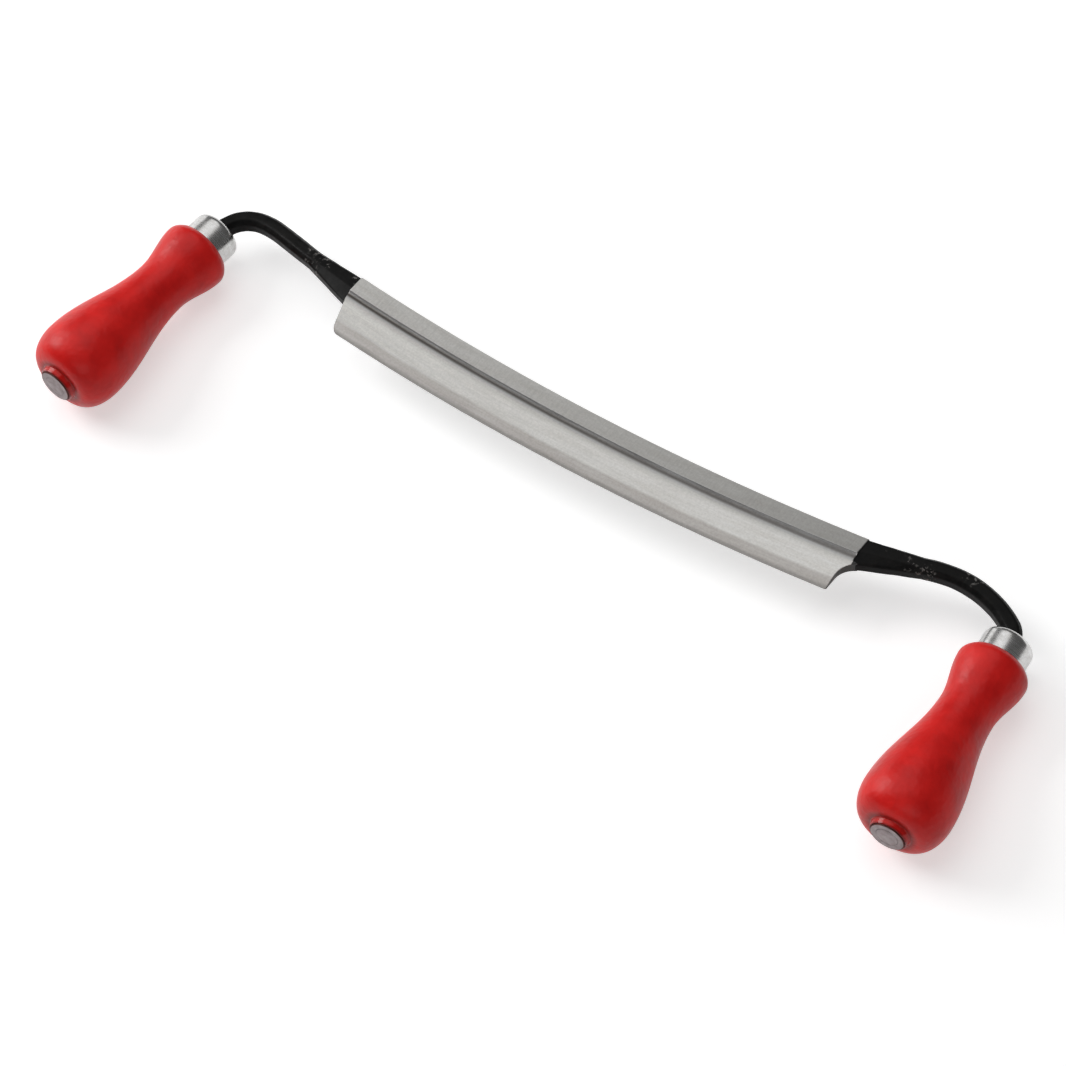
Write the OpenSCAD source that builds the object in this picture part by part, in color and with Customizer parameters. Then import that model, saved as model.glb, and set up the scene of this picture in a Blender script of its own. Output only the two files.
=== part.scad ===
// Curved drawknife with two turned handles, lying at rest with its bevel up.
// Each piece is drawn in the blade's own plane: X along the blade, +Y towards the spine,
// Z up from the flat face above the bevel. The whole tool is then laid down on its two handles.

/* [Blade] */
// Straight distance between the two ends of the bare blade
blade_chord = 250; // [200:5:300]
// Radius of the blade's spine, seen from above
spine_radius = 1140; // [500:20:2000]
// Width of the blade from spine to edge
blade_width = 26; // [24:0.5:36]
// Thickness of the blade at its spine
blade_thickness = 6.5; // [5.5:0.5:9]
// Width of the flat strip along the spine
land_width = 8.5; // [7:0.5:10]
// Depth of the groove where the hollow bevel starts
groove_depth = 1.3; // [0.8:0.1:2]
// Width of that groove
groove_width = 2.2; // [1.4:0.1:3]
// Radius of the hollow bevel
hollow_radius = 90; // [60:5:200]
// Width of the honed strip along the edge
hone_width = 5; // [3:0.5:6]
// Rise of the honed strip from the edge
hone_height = 1.9; // [1.5:0.1:2.2]
// Thickness left at the edge
edge_thickness = 0.25; // [0.15:0.05:0.4]
// Chamfer along the two corners of the spine
spine_chamfer = 0.5; // [0.2:0.1:0.8]
// How far the edge stops short of the arm at the right end
heel_setback = 3; // [2:0.5:6]
// Radius of the hollow corner between the blade's right end and the arm
heel_radius = 9; // [6:0.5:12]
// How far the blade's left end leans in from the arm to the edge
heel_slant = 14; // [6:1:20]
// Radius of the worn corner of the edge at the left end
heel_corner = 4.5; // [3:0.5:6]

/* [Arms] */
// Width of the arm where it leaves the blade
arm_root_width = 13.6; // [12.6:0.2:15]
// Distance of the arm's middle line from the spine, where it leaves the blade
arm_middle = 6.25; // [5.5:0.25:7]
// Distance from the blade to the end of that flared root
arm_root_length = 25; // [18:1:28]
// Corner chamfer of the forged bar
arm_chamfer = 1.8; // [1:0.1:2.1]
// How far beyond the blade's end the arm enters its ferrule
arm_reach = 70.2; // [69:0.2:76]
// How far towards the user that place is from the start of the arm's middle line
arm_setback = 0.2; // [-0.2:0.2:3]
// How far that place lies below the start of the arm's middle line
arm_drop = 5.7; // [4:0.1:8]
// Width and thickness of the left arm past its root
left_size = 7.8; // [7.2:0.1:9]
// How far the left arm leans away from the user where it leaves the blade
left_sweep = 13; // [11:0.5:17]
// How far the left arm curves back before its tight bend
left_curve = 16; // [8:1:24]
// Radius of that curve of the left arm
left_curve_radius = 40; // [32:1:48]
// Width and thickness of the right arm past its root
right_size = 8; // [7.2:0.1:9]
// How far the right arm leans away from the user where it leaves the blade
right_sweep = 19.5; // [19:0.5:22]
// How far the right arm curves back before its tight bend
right_curve = 52; // [46:1:53]
// Radius of that curve of the right arm
right_curve_radius = 45; // [40:1:46]

/* [Handles] */
// How far each handle leans outward
handle_splay = 5; // [0:1:15]
// How far each handle drops below the blade's plane
handle_drop = 4; // [0:1:15]
// Length of the handle's body, from its butt to its front shoulder
handle_length = 88.5; // [87:0.5:115]
// Height of the short boss on the butt that carries the washer
boss_height = 2.5; // [1.8:0.1:4]
// Diameter of the boss at its flat end
boss_diameter = 15.8; // [15.6:0.1:16.6]
// Diameter of the boss where it meets the rounded butt
boss_base_diameter = 17; // [16.8:0.1:20]
// Largest diameter of the handle
belly_diameter = 38.6; // [34:0.2:42]
// How pointed the rounded butt is (1 is a quarter of an ellipse)
butt_point = 0.7; // [0.6:0.1:1.4]
// Distance of the largest diameter from the butt
belly_station = 16.5; // [14:0.5:24]
// Smallest diameter of the handle
waist_diameter = 23.6; // [22:0.2:28]
// Distance of the smallest diameter from the butt
waist_station = 64; // [56:1:68]
// Diameter of the rim before the ferrule
rim_diameter = 30.4; // [28:0.2:34]
// Distance of the rim from the butt
rim_station = 84.6; // [79:0.2:85]
// Diameter of the handle's front shoulder, inside its rounded corner
shoulder_diameter = 26.2; // [22.6:0.2:27]

/* [Ferrules] */
// Outer diameter of the ferrule
ferrule_diameter = 21.4; // [20:0.2:22]
// Length of the ferrule
ferrule_length = 12; // [9:0.5:15]
// Thickness of the ferrule's steel
ferrule_wall = 1; // [0.8:0.1:1.4]
// Outer radius of the ferrule's rounded front edge
ferrule_round = 3; // [1.6:0.1:3.4]

/* [Tangs and washers] */
// Diameter of the tang inside the handle
tang_diameter = 7; // [6:0.1:7]
// Diameter of the rivet head on the tang's end
rivet_diameter = 9.6; // [8.5:0.1:11]
// Diameter of the washer let into the boss
washer_diameter = 14.6; // [13:0.1:14.7]
// Thickness of the washer
washer_thickness = 1.5; // [1.2:0.1:2.5]
// How far the washer's outer face stands proud of the boss
washer_proud = 0.5; // [0.2:0.1:0.8]

/* [Fits] */
// Gap all round between the tang and what it passes through
tang_clearance = 0.2; // [0.1:0.05:0.4]
// Gap between the ferrule and the wooden tenon inside it
ferrule_clearance = 0.15; // [0.1:0.05:0.3]
// Gap between the washer's rim and its recess
washer_clearance = 0.15; // [0.1:0.05:0.3]
// Gap between faces that seat on each other
seat_gap = 0.1; // [0.05:0.05:0.2]

/* [Hidden] */
$fn = 96;
half_chord = blade_chord / 2;
// Centre of the blade's curve, with the spine's ends on the X axis
curve_centre_y = sqrt(spine_radius * spine_radius - half_chord * half_chord);
// The blade's curve is drawn this much past its ends and then cut to its outline
end_allowance = 8;
curve_half_angle = asin((half_chord + end_allowance) / spine_radius);

// Both arms and handles are planned on the right, and the left ones are then mirrored
handle_along = direction(180 - handle_splay, -handle_drop);
arm_start = [half_chord, -arm_middle, -blade_thickness / 2];
ferrule_front = arm_start + [arm_reach, -arm_setback, -arm_drop];
handle_front = ferrule_front + handle_along * ferrule_length;
handle_butt = handle_front + handle_along * handle_length;
// The tight bend ends at the inner face of the ferrule's front
arm_end = ferrule_front + handle_along * ferrule_wall;
left_plan = arm_plan(left_sweep, left_curve, left_curve_radius);
right_plan = arm_plan(right_sweep, right_curve, right_curve_radius);
// The arm's root starts this far inside the blade and keeps this far below its faces
root_overlap = 1;
root_inset = 0.2;
// Each stretch of the bar starts this far inside the one before it and is this much slimmer
bar_overlap = 0.5;
bar_step = 0.1;

tenon_radius = ferrule_diameter / 2 - ferrule_wall - ferrule_clearance;
tenon_length = ferrule_length - ferrule_wall - seat_gap;
// The tenon's front corner is cut back to clear the ferrule's rounded inside
tenon_chamfer = ferrule_round - ferrule_wall;
bore_radius = tang_diameter / 2 + tang_clearance;
recess_radius = washer_diameter / 2 + washer_clearance;
recess_depth = washer_thickness - washer_proud + seat_gap;
// The eight corners of the thicker arm lie inside this radius
arm_half = max(left_size, right_size) / 2;
arm_corner_radius = norm([arm_half, arm_half - arm_chamfer]);
// The slices that the root is drawn between are this thin
slice = 0.02;
// Facets of a full turn of the blade's and the arm's long curves
blade_facets = 2400;
arm_facets = 240;
curve_steps = 24;
// Steps of the section's and the outline's shorter curves
hollow_steps = 10;
groove_steps = 5;
round_steps = 8;
// Radius of the groove's hollow as a share of its width
groove_hollow = 1.3;
// How far the right heel's hollow corner cuts into the straight underside of the arm's root
heel_bite = 0.15;
// How deep the left heel's corner arc reaches into the blade, as a share of its radius, and where it ends
corner_share = 0.9;
corner_end = -80;
// Steepest pitch that is looked at for the tool's rest, and how often that range is halved
pitch_limit = 30;
pitch_halvings = 24;

// Half outline of the handle as [distance from the butt, radius]
handle_outline = concat(
    [[0, boss_diameter / 2]],
    [for (i = [0:curve_steps])
        let (a = 90 * i / curve_steps)
        [boss_height + (belly_station - boss_height) * (1 - cos(a)),
            (boss_base_diameter + (belly_diameter - boss_base_diameter) * pow(sin(a), butt_point)) / 2]],
    [for (i = [1:curve_steps])
        let (t = i / curve_steps)
        [belly_station + (waist_station - belly_station) * t,
            (belly_diameter + (waist_diameter - belly_diameter) * ease(t)) / 2]],
    [for (i = [1:curve_steps])
        let (t = i / curve_steps)
        [waist_station + (rim_station - waist_station) * t,
            (waist_diameter + (rim_diameter - waist_diameter) * ease(t)) / 2]],
    [for (i = [1:curve_steps / 2])
        let (a = 180 * i / curve_steps)
        [rim_station + (handle_length - rim_station) * sin(a),
            (shoulder_diameter + (rim_diameter - shoulder_diameter) * pow(cos(a), 2)) / 2]]);

// How far the tool is pitched up when it lies on its handles, and how high it then stands
rest_pitch = balance(0, pitch_limit, pitch_halvings);
rest_height = -handle_low(rest_pitch, 0, handle_length);
// The origin is under the middle of the tool
front_y = min([for (p = handle_outline) handle_reach(p)]);
back_y = max(arm_back(left_plan, left_size), arm_back(right_plan, right_size));
middle_y = (front_y + back_y) / 2;

function unit(v) = v / norm(v);
// Unit vector at a bearing from +Y towards +X, raised above the blade's plane
function direction(bearing, rise) =
    [sin(bearing) * cos(rise), cos(bearing) * cos(rise), sin(rise)];
// Points of a circular arc from p to q, hollow towards its left-hand side
function hollow_arc(p, q, radius, steps) =
    let (
        middle = (p + q) / 2,
        along = unit(q - p),
        centre = middle + [-along[1], along[0]] * sqrt(radius * radius - pow(norm(q - p) / 2, 2)),
        start = atan2(p[1] - centre[1], p[0] - centre[0]),
        sweep = 2 * asin(norm(q - p) / 2 / radius)
    )
    [for (i = [0:steps]) centre + radius * [cos(start + sweep * i / steps), sin(start + sweep * i / steps)]];
// Smooth step from 0 to 1
function ease(t) = (1 - cos(180 * t)) / 2;

// A point of the blade's frame, pitched about X as the tool lies
function pitched(p, pitch) =
    [p[0], p[1] * cos(pitch) + p[2] * sin(pitch), p[2] * cos(pitch) - p[1] * sin(pitch)];
function tilted(p) = pitched(p, rest_pitch);
// An arm runs straight, then in a gentle curve and then in a tight bend to its end.
// Its plan is [direction at the blade, side that it turns to, whole turn, straight length,
// curve, curve radius, curve centre, bend radius, bend centre].
function arm_plan(sweep, curve, curve_radius) =
    let (
        span = arm_end - arm_start,
        normal = cross(handle_along, span),
        along = direction(90 - sweep, -atan([cos(sweep), sin(sweep), 0] * normal / normal[2])),
        turn = acos(along * handle_along),
        side = unit(handle_along - along * cos(turn)),
        bend_radius = (span * side - curve_radius * (1 - cos(curve))) / (cos(curve) - cos(turn)),
        straight = span * along - curve_radius * sin(curve) - bend_radius * (sin(turn) - sin(curve)),
        curve_centre = arm_start + along * straight + side * curve_radius,
        bend_centre = curve_centre + (curve_radius - bend_radius) * (along * sin(curve) - side * cos(curve))
    )
    [along, side, turn, straight, curve, curve_radius, curve_centre, bend_radius, bend_centre];
// How far back an arm reaches as the tool lies
function arm_back(plan, size) =
    let (along = plan[0], side = plan[1], turn = plan[2], curve = plan[4])
    max([for (a = [0:1:turn])
        let (radius = a > curve ? plan[7] : plan[5], centre = a > curve ? plan[8] : plan[6])
        tilted(centre + radius * (along * sin(a) - side * cos(a)))[1]]) + size / 2;
// Lowest point of the handle's outline between two stations at a pitch
function handle_low(pitch, from, to) =
    let (axis = pitched(handle_along, pitch), butt = pitched(handle_butt, pitch))
    min([for (p = handle_outline)
        if (p[0] >= from && p[0] <= to)
            butt[2] - axis[2] * p[0] - p[1] * norm([axis[0], axis[1]])]);
// Pitch at which the handle's belly and its rim reach equally low
function balance(low, high, steps) =
    let (middle = (low + high) / 2)
    steps < 1 ? middle
        : handle_low(middle, 0, waist_station) < handle_low(middle, waist_station, handle_length)
            ? balance(middle, high, steps - 1)
            : balance(low, middle, steps - 1);
function handle_reach(p) =
    let (axis = tilted(handle_along), butt = tilted(handle_butt))
    butt[1] - axis[1] * p[0] - p[1] * norm([axis[0], axis[2]]);

// Lays a piece down as the tool rests
module at_rest() {
    translate([0, -middle_y, rest_height])
        rotate([-rest_pitch, 0, 0])
            children();
}

// Puts a piece whose Z axis runs from the butt to the front on the right handle's axis
module on_handle_axis() {
    z = -handle_along;
    x = unit(cross([0, 0, 1], z));
    y = cross(z, x);
    multmatrix([
        [x[0], y[0], z[0], handle_butt[0]],
        [x[1], y[1], z[1], handle_butt[1]],
        [x[2], y[2], z[2], handle_butt[2]],
        [0, 0, 0, 1]])
        children();
}

// Turned piece from half its section, given as [distance along the axis, radius]
module turned(section) {
    rotate_extrude()
        polygon([for (p = section) [p[1], p[0]]]);
}

// Bar section of the arm, with its corners chamfered
module bar_section(size) {
    w = size / 2;
    c = arm_chamfer;
    polygon([[w, c - w], [w, w - c], [w - c, w], [c - w, w], [-w, w - c], [-w, c - w], [c - w, -w], [w - c, -w]]);
}

// Thin slice of the flared root just inside the blade's end, a little below the blade's own faces
module root_slice() {
    c = spine_chamfer;
    back = -2 * root_inset;
    front = -arm_root_width;
    top = -root_inset;
    bottom = root_inset - blade_thickness;
    // The slice's shoulder falls from the land past the bottom of the groove
    shoulder = groove_depth - land_width;
    fall = groove_depth / (groove_width + groove_depth);
    front_top = top - (shoulder - front) * fall;
    translate([half_chord - root_overlap, 0, 0])
        rotate([90, 0, 90])
            linear_extrude(slice)
                polygon([[back, bottom + c], [back, top - c], [back - c, top], [shoulder, top],
                    [front, front_top], [front, bottom + c], [front + c, bottom], [back - c, bottom]]);
}

// Puts a piece drawn about the Z axis on the plane that an arm bends in, at an angle from its start
module on_arm_plane(plan, centre, angle) {
    along = plan[0];
    out = -plan[1];
    normal = cross(out, along);
    multmatrix([
        [out[0], along[0], normal[0], centre[0]],
        [out[1], along[1], normal[1], centre[1]],
        [out[2], along[2], normal[2], centre[2]],
        [0, 0, 0, 1]])
        rotate([0, 0, angle])
            children();
}

// Straight stretch of the bar between two distances along the arm
module straight_bar(plan, from, to, size) {
    on_arm_plane(plan, arm_start, 0)
        translate([0, from, 0])
            rotate([-90, 0, 0])
                linear_extrude(to - from)
                    bar_section(size);
}

// Arc of the bar about the Z axis, drawn from a little before its start
module bar_arc(radius, angle, size) {
    overlap = bar_overlap / radius * 180 / PI;
    rotate([0, 0, -overlap])
        rotate_extrude(angle = angle + overlap)
            translate([radius, 0])
                bar_section(size);
}

// One arm with its tang and rivet head, on the right-hand side
module arm(plan, size) {
    turn = plan[2];
    straight = plan[3];
    curve = plan[4];
    root_end = min(arm_root_length, straight - bar_overlap);
    hull() {
        root_slice();
        straight_bar(plan, root_end, root_end + slice, size + bar_step);
    }
    straight_bar(plan, root_end - bar_overlap, straight, size);
    on_arm_plane(plan, plan[6], 0)
        bar_arc(plan[5], curve, size - bar_step, $fn = arm_facets);
    on_arm_plane(plan, plan[8], curve)
        bar_arc(plan[7], turn - curve, size - 2 * bar_step);
    on_handle_axis()
        tang();
}

// Tang from the arm's bend to its riveted end in the washer
module tang() {
    root = handle_length + ferrule_length;
    turned([
        [-washer_proud, 0],
        [-washer_proud, rivet_diameter / 2 - tang_clearance],
        [washer_thickness - washer_proud, tang_diameter / 2],
        [root, tang_diameter / 2],
        [root, 0]]);
}

// Cross-section of the blade as [distance from the spine, height]
function blade_section() =
    let (
        t = blade_thickness,
        c = spine_chamfer,
        groove = [land_width + groove_width, -groove_depth],
        hone = [blade_width - hone_width, edge_thickness + hone_height - t]
    )
    concat(
        [[c, -t], [0, c - t], [0, -c], [c, 0]],
        hollow_arc([land_width, 0], groove, groove_width * groove_hollow, groove_steps),
        hollow_arc(groove, hone, hollow_radius, hollow_steps),
        [[blade_width, edge_thickness - t], [blade_width, -t]]);

// Outline of a half of the blade from above, drawn on the right, with the heel given from the arm down
function blade_outline(heel) =
    concat(
        [[0, spine_chamfer], [half_chord, spine_chamfer], [half_chord, arm_chamfer - arm_root_width]],
        heel,
        [[heel[len(heel) - 1][0], -2 * blade_width], [0, -2 * blade_width]]);
// Right heel, with a hollow corner that runs into the underside of the arm's root
function hollow_heel() =
    let (
        foot = [half_chord - root_overlap, -arm_root_width],
        along = [cos(right_sweep), sin(right_sweep)],
        toe = [half_chord, -arm_middle] + along * arm_root_length + [along[1], -along[0]] * right_size / 2,
        slope = atan2(toe[1] - foot[1], toe[0] - foot[0]),
        x = half_chord - heel_setback + heel_radius,
        y = foot[1] + (x - foot[0]) * tan(slope) - (heel_radius - heel_bite) / cos(slope),
        arc_end = 90 + slope
    )
    concat(
        [[x + heel_radius * cos(arc_end), arm_chamfer - arm_root_width]],
        [for (i = [0:round_steps])
            let (a = arc_end + (180 - arc_end) * i / round_steps)
            [x, y] + heel_radius * [cos(a), sin(a)]]);
// Left heel, straight from the arm down to the worn corner of the edge
function slanted_heel() =
    let (
        inward = [-cos(heel_slant), sin(heel_slant)],
        down = [-sin(heel_slant), -cos(heel_slant)],
        from = [half_chord, arm_chamfer - arm_root_width - curve_centre_y] + heel_corner * inward,
        reach = spine_radius + blade_width - corner_share * heel_corner,
        drop = sqrt(pow(from * down, 2) - from * from + reach * reach) - from * down,
        corner = from + drop * down + [0, curve_centre_y]
    )
    [for (i = [0:round_steps])
        let (a = corner_end + (-heel_slant - corner_end) * (1 - i / round_steps))
        corner + heel_corner * [cos(a), sin(a)]];

module bare_blade() {
    intersection() {
        translate([0, curve_centre_y, 0])
            rotate([0, 0, -90 - curve_half_angle])
                rotate_extrude(angle = 2 * curve_half_angle, $fn = blade_facets)
                    polygon([for (p = blade_section()) [spine_radius + p[0], p[1]]]);
        translate([0, 0, -2 * blade_thickness])
            linear_extrude(4 * blade_thickness) {
                polygon(blade_outline(hollow_heel()));
                mirror([1, 0])
                    polygon(blade_outline(slanted_heel()));
            }
    }
}

module forged_blade() {
    at_rest() {
        color("lightgray")
            bare_blade();
        color("#1c1b1b") {
            arm(right_plan, right_size);
            mirror([1, 0, 0])
                arm(left_plan, left_size);
        }
    }
}

// Wooden handle, bored for the tang
module handle() {
    tenon_end = handle_length + tenon_length;
    turned(concat(
        [[recess_depth, recess_radius], [0, recess_radius]],
        handle_outline,
        [[handle_length, tenon_radius], [tenon_end - tenon_chamfer, tenon_radius],
            [tenon_end, tenon_radius - tenon_chamfer], [tenon_end, bore_radius], [recess_depth, bore_radius]]));
}

// Steel cap over the handle's tenon, with a rounded front edge and a hole for the arm
module ferrule() {
    r = ferrule_diameter / 2;
    wall = ferrule_wall;
    back = handle_length + seat_gap;
    front = handle_length + ferrule_length;
    inner_round = ferrule_round - wall;
    hole = arm_corner_radius + tang_clearance;
    turned(concat(
        [[back, r]],
        [for (i = [0:round_steps])
            let (a = 90 * i / round_steps)
            [front - ferrule_round + ferrule_round * sin(a), r - ferrule_round + ferrule_round * cos(a)]],
        [[front, hole], [front - wall, hole]],
        [for (i = [round_steps:-1:0])
            let (a = 90 * i / round_steps)
            [front - ferrule_round + inner_round * sin(a), r - ferrule_round + inner_round * cos(a)]],
        [[back, r - wall]]));
}

// Steel washer with a countersunk hole for the riveted tang
module butt_washer() {
    outer = -washer_proud;
    inner = washer_thickness - washer_proud;
    turned([
        [outer, washer_diameter / 2],
        [inner, washer_diameter / 2],
        [inner, bore_radius],
        [outer, rivet_diameter / 2]]);
}

module right_side() {
    at_rest()
        on_handle_axis()
            children();
}

module left_side() {
    mirror([1, 0, 0])
        right_side()
            children();
}

module left_handle() { left_side() color("#c8201f") handle(); }
module right_handle() { right_side() color("#c8201f") handle(); }
module left_ferrule() { left_side() color("silver") ferrule(); }
module right_ferrule() { right_side() color("silver") ferrule(); }
module left_butt_washer() { left_side() color("darkgray") butt_washer(); }
module right_butt_washer() { right_side() color("darkgray") butt_washer(); }

forged_blade();
left_handle();
right_handle();
left_ferrule();
right_ferrule();
left_butt_washer();
right_butt_washer();
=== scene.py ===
"""Curved drawknife with two turned handles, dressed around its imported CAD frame.

Shapes are drawn in millimetres in the blade's own plane, as the CAD draws them, and then laid down
as the tool rests. Blender's metres start in place().
"""

import math

import bmesh
import bpy
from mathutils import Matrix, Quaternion, Vector, noise


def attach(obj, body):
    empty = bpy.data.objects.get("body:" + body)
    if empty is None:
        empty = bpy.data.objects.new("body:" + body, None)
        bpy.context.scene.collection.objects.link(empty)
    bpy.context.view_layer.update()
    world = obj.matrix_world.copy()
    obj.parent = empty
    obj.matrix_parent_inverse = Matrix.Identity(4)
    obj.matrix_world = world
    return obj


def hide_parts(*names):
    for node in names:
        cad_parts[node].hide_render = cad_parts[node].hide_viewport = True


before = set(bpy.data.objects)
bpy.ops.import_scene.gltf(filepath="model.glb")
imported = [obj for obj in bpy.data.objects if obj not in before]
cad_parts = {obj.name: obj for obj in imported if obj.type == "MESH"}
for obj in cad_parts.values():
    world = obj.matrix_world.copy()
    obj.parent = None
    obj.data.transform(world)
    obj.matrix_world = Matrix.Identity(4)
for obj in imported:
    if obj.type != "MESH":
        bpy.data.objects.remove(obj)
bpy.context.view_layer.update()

MM = 0.001

# Camera over the blade's own plane, from the photograph's perspective
CAMERA_PLACE = (875.96, -1119.74, 1674.61)
CAMERA_TURN = (0.899208, 0.309821, 0.125243, 0.282400)
CAMERA_LENS = 184.578
SENSOR = 36

# Blade, as in the CAD
BLADE_CHORD = 250
SPINE_RADIUS = 1140
BLADE_WIDTH = 26
BLADE_THICKNESS = 6.5
LAND_WIDTH = 8.5
GROOVE_DEPTH = 1.3
GROOVE_WIDTH = 2.2
GROOVE_HOLLOW = 1.3
HOLLOW_RADIUS = 90
HONE_WIDTH = 5
HONE_HEIGHT = 1.9
EDGE_THICKNESS = 0.25
SPINE_CHAMFER = 0.5
HEEL_SETBACK = 3
HEEL_RADIUS = 9
HEEL_BITE = 0.15
HEEL_SLANT = 14
HEEL_CORNER = 4.5

# Arms, as in the CAD
ARM_ROOT_WIDTH = 13.6
ARM_ROOT_LENGTH = 25
ARM_MIDDLE = 6.25
ARM_CHAMFER = 1.8
ARM_REACH = 70.2
ARM_SETBACK = 0.2
ARM_DROP = 5.7
LEFT_SIZE = 7.8
LEFT_SWEEP = 13
LEFT_CURVE = 16
LEFT_CURVE_RADIUS = 40
RIGHT_SIZE = 8
RIGHT_SWEEP = 19.5
RIGHT_CURVE = 52
RIGHT_CURVE_RADIUS = 45
ROOT_OVERLAP = 1
ROOT_INSET = 0.2

# Handles, as in the CAD
HANDLE_SPLAY = 5
HANDLE_DROP = 4
HANDLE_LENGTH = 88.5
BOSS_HEIGHT = 2.5
BOSS_DIAMETER = 15.8
BOSS_BASE_DIAMETER = 17
BELLY_DIAMETER = 38.6
BUTT_POINT = 0.7
BELLY_STATION = 16.5
WAIST_DIAMETER = 23.6
WAIST_STATION = 64
RIM_DIAMETER = 30.4
RIM_STATION = 84.6
SHOULDER_DIAMETER = 26.2

# Ferrules, tangs and washers, as in the CAD
FERRULE_DIAMETER = 21.4
FERRULE_LENGTH = 12
FERRULE_WALL = 1
FERRULE_ROUND = 3
TANG_DIAMETER = 7
RIVET_DIAMETER = 9.6
WASHER_DIAMETER = 14.6
WASHER_THICKNESS = 1.5
WASHER_PROUD = 0.5
TANG_CLEARANCE = 0.2
FERRULE_CLEARANCE = 0.15
WASHER_CLEARANCE = 0.15
SEAT_GAP = 0.1
RECESS_DEPTH = WASHER_THICKNESS - WASHER_PROUD + SEAT_GAP

# Steps of the curves and of the search for the pitch, as in the CAD
CURVE_STEPS = 24
PITCH_LIMIT = 30
PITCH_HALVINGS = 24

# Rows of points across and along the blade, and rings along an arm.
# END_ROWS and INNER_START are shares of half the blade's length.
LAND_ROWS = 10
GROOVE_ROWS = 8
HOLLOW_ROWS = 24
HONE_ROWS = 20
HONE_CROWDING = 1.6
END_ROWS = (0, 0.0012, 0.0024, 0.005, 0.01)
INNER_START = 0.02
INNER_ROWS = 90
ROOT_RINGS = 24
STRAIGHT_RINGS = 20
BEND_RINGS = 36

# Roundings and wear that only the scene has, in millimetres.
# END_WEAR_SHARE is a share of half the blade's length, and RIPPLES a number of ripples.
HEEL_BREAK = 0.7
END_WEAR = 0.18
END_WEAR_SHARE = 0.0024
THINNEST = 0.1
RIPPLE_DEPTH = 0.14
RIPPLE_START = 20
RIPPLES = 9
BAR_ROUNDING = 0.55
ROOT_ROUNDING = 0.2
DENT_DEPTH = 0.26
DENT_SPREAD = 7
PIT_DEPTH = 0.07
PIT_SPREAD = 2.2
LIP_ROUNDING = 0.5
RIM_BREAK = 0.15
HOLE_BREAK = 0.3
WASHER_ROUNDING = 0.25
HEAD_PROUD = 0.04
HEAD_ROUNDING = 0.08
HEAD_TIP = 0.001

# Girth of an arm on its UV map, in millimetres
ARM_GIRTH = 30


def sin(a):
    return math.sin(math.radians(a))


def cos(a):
    return math.cos(math.radians(a))


def direction(bearing, rise):
    return Vector((sin(bearing) * cos(rise), cos(bearing) * cos(rise), sin(rise)))


HALF_CHORD = BLADE_CHORD / 2
CURVE_CENTRE_Y = math.sqrt(SPINE_RADIUS**2 - HALF_CHORD**2)
HANDLE_ALONG = direction(180 - HANDLE_SPLAY, -HANDLE_DROP)
ARM_START = Vector((HALF_CHORD, -ARM_MIDDLE, -BLADE_THICKNESS / 2))
FERRULE_FRONT = ARM_START + Vector((ARM_REACH, -ARM_SETBACK, -ARM_DROP))
ARM_END = FERRULE_FRONT + HANDLE_ALONG * FERRULE_WALL
HANDLE_BUTT = FERRULE_FRONT + HANDLE_ALONG * (FERRULE_LENGTH + HANDLE_LENGTH)


class Arm:
    """An arm that runs straight, then in a gentle curve and then in a tight bend, as in the CAD."""

    def __init__(self, size, sweep, curve, curve_radius):
        span = ARM_END - ARM_START
        normal = HANDLE_ALONG.cross(span)
        level = Vector((cos(sweep), sin(sweep), 0))
        self.size, self.curve, self.curve_radius = size, curve, curve_radius
        self.along = direction(90 - sweep, -math.degrees(math.atan(level.dot(normal) / normal[2])))
        self.turn = math.degrees(self.along.angle(HANDLE_ALONG))
        self.side = (HANDLE_ALONG - self.along * cos(self.turn)).normalized()
        aside = span.dot(self.side) - curve_radius * (1 - cos(curve))
        self.bend_radius = aside / (cos(curve) - cos(self.turn))
        ahead = span.dot(self.along) - curve_radius * sin(curve)
        self.straight = ahead - self.bend_radius * (sin(self.turn) - sin(curve))
        self.curve_centre = ARM_START + self.along * self.straight + self.side * curve_radius
        self.bend_centre = self.curve_centre + self.radial(curve) * (curve_radius - self.bend_radius)

    def radial(self, a):
        return self.along * sin(a) - self.side * cos(a)

    def middle(self, a):
        """A point of the arm's middle line past its straight, at an angle from its start."""
        if a > self.curve:
            return self.bend_centre + self.radial(a) * self.bend_radius
        return self.curve_centre + self.radial(a) * self.curve_radius


LEFT_ARM = Arm(LEFT_SIZE, LEFT_SWEEP, LEFT_CURVE, LEFT_CURVE_RADIUS)
RIGHT_ARM = Arm(RIGHT_SIZE, RIGHT_SWEEP, RIGHT_CURVE, RIGHT_CURVE_RADIUS)


def ease(t):
    return (1 - cos(180 * t)) / 2


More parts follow.
